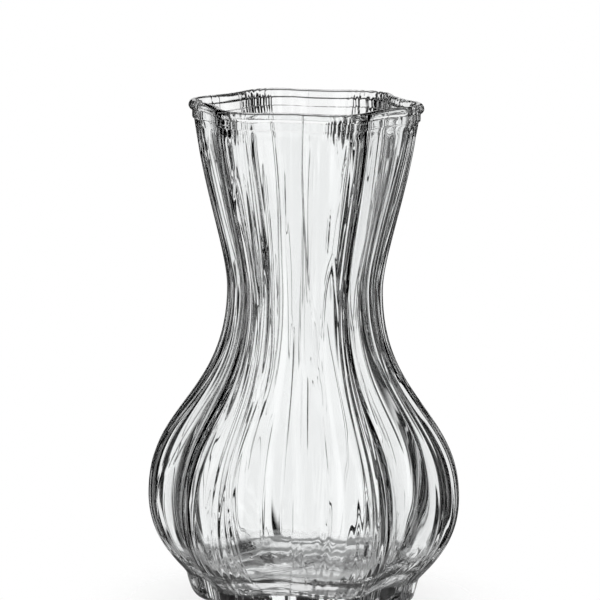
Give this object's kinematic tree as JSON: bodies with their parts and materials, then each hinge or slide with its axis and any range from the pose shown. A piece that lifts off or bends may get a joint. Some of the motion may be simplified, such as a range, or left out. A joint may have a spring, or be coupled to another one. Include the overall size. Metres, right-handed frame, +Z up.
{
  "type": "flower vase",
  "caption": "Clear glass flower vase with a round belly, a narrow waist and a flared mouth, lobed all round, with a beaded rim.",
  "frame": {"origin": "centre of the foot, on the surface that the vase stands on", "axes": "+Z up along the vase's axis, +X through a ridge of the lobes"},
  "size_m": [0.1242, 0.1136, 0.2],
  "materials": {
    "clear_glass": "clear, fire-polished"
  },
  "bodies": {
    "root": {"glass_body": "clear_glass"}
  },
  "joints": []
}
